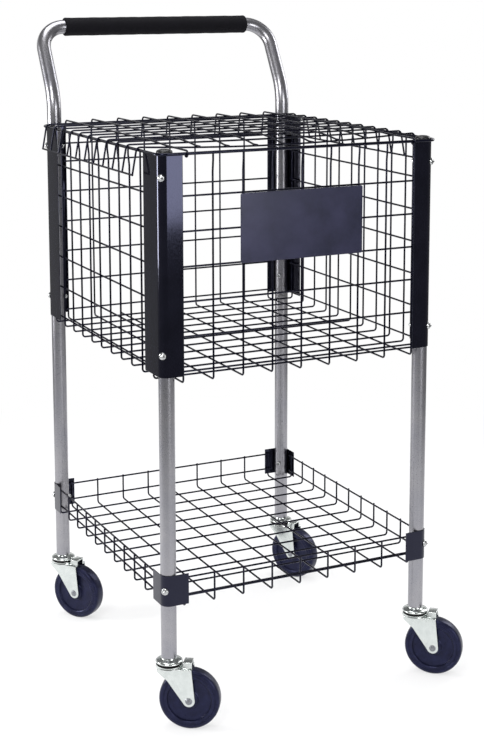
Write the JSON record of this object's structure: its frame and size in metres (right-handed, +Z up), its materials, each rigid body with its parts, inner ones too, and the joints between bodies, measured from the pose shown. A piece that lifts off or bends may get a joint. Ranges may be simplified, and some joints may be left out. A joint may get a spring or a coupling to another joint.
{
  "type": "tennis ball cart",
  "caption": "Wheeled wire basket cart for tennis balls, with a hinged wire lid, a wire shelf, a push handle with a foam grip and swivel casters.",
  "frame": {"origin": "on the floor under the middle of the overall outline", "axes": "+X along the front, to the right for someone who faces it; +Y from the sign plate to the handle; +Z up"},
  "size_m": [0.5654, 0.6592, 1.126],
  "materials": {
    "silver_tube": "satin silver",
    "foam": "closed-cell foam, matte",
    "black_plastic": "satin",
    "black_sheet": "satin powder coat",
    "black_wire": "satin powder coat",
    "plate": "matte slate",
    "bolt_steel": "zinc plated",
    "caster_zinc": "bright zinc",
    "wheel_rubber": "matte navy-black"
  },
  "bodies": {
    "frame": {"basket_floor": "black_wire", "basket_front": "black_wire", "basket_left": "black_wire", "basket_rear": "black_wire", "basket_right": "black_wire", "basket_rim": "black_wire", "bolt_lower_fl": "bolt_steel", "bolt_lower_fr": "bolt_steel", "bolt_lower_rl": "bolt_steel", "bolt_lower_rr": "bolt_steel", "bolt_upper_fl_low": "bolt_steel", "bolt_upper_fl_top": "bolt_steel", "bolt_upper_fr_low": "bolt_steel", "bolt_upper_fr_top": "bolt_steel", "bolt_upper_rl_low": "bolt_steel", "bolt_upper_rl_top": "bolt_steel", "bolt_upper_rr_low": "bolt_steel", "bolt_upper_rr_top": "bolt_steel", "bracket_fl": "black_sheet", "bracket_fr": "black_sheet", "bracket_rl": "black_sheet", "bracket_rr": "black_sheet", "cap_fl": "black_plastic", "cap_fr": "black_plastic", "clip_fl": "black_sheet", "clip_fr": "black_sheet", "clip_rl": "black_sheet", "clip_rr": "black_sheet", "handle_grip": "foam", "handle_tube": "silver_tube", "leg_fl": "silver_tube", "leg_fr": "silver_tube", "leg_rl": "silver_tube", "leg_rr": "silver_tube", "shelf_floor": "black_wire", "shelf_front": "black_wire", "shelf_left": "black_wire", "shelf_rear": "black_wire", "shelf_right": "black_wire", "sign_plate": "plate", "stem_fl": "caster_zinc", "stem_fr": "caster_zinc", "stem_rl": "caster_zinc", "stem_rr": "caster_zinc"},
    "lid": {"lid_hook_left": "black_wire", "lid_hook_right": "black_wire", "lid_left": "black_wire", "lid_rear": "black_wire", "lid_right": "black_wire", "lid_top": "black_wire"},
    "caster_fl": {"fork_fl": "caster_zinc"},
    "wheel_fl": {"wheel_fl": "wheel_rubber"},
    "caster_fr": {"fork_fr": "caster_zinc"},
    "wheel_fr": {"wheel_fr": "wheel_rubber"},
    "caster_rl": {"fork_rl": "caster_zinc"},
    "wheel_rl": {"wheel_rl": "wheel_rubber"},
    "caster_rr": {"fork_rr": "caster_zinc"},
    "wheel_rr": {"wheel_rr": "wheel_rubber"}
  },
  "joints": [
    {"name": "lid_hinge", "type": "hinge", "parent": "frame", "child": "lid", "pos_m": [-0.01949, -0.28339, 0.9325], "axis": [1, 0, 0], "range_deg": [0, 255]},
    {"name": "swivel_fl", "type": "hinge", "parent": "frame", "child": "caster_fl", "pos_m": [-0.25249, -0.26639, 0.103], "axis": [0, 0, 1], "continuous": true},
    {"name": "spin_fl", "type": "hinge", "parent": "caster_fl", "child": "wheel_fl", "pos_m": [-0.22404, -0.28501, 0.05], "axis": [-0.5476, -0.8368, 0], "continuous": true},
    {"name": "swivel_fr", "type": "hinge", "parent": "frame", "child": "caster_fr", "pos_m": [0.21351, -0.26639, 0.103], "axis": [0, 0, 1], "continuous": true},
    {"name": "spin_fr", "type": "hinge", "parent": "caster_fr", "child": "wheel_fr", "pos_m": [0.23886, -0.28906, 0.05], "axis": [-0.6665, -0.7455, 0], "continuous": true},
    {"name": "swivel_rl", "type": "hinge", "parent": "frame", "child": "caster_rl", "pos_m": [-0.25249, 0.24161, 0.103], "axis": [0, 0, 1], "continuous": true},
    {"name": "spin_rl", "type": "hinge", "parent": "caster_rl", "child": "wheel_rl", "pos_m": [-0.23275, 0.21393, 0.05], "axis": [-0.8141, -0.5807, 0], "continuous": true},
    {"name": "swivel_rr", "type": "hinge", "parent": "frame", "child": "caster_rr", "pos_m": [0.21351, 0.24161, 0.103], "axis": [0, 0, 1], "continuous": true},
    {"name": "spin_rr", "type": "hinge", "parent": "caster_rr", "child": "wheel_rr", "pos_m": [0.22947, 0.21159, 0.05], "axis": [-0.8829, -0.4695, 0], "continuous": true}
  ]
}
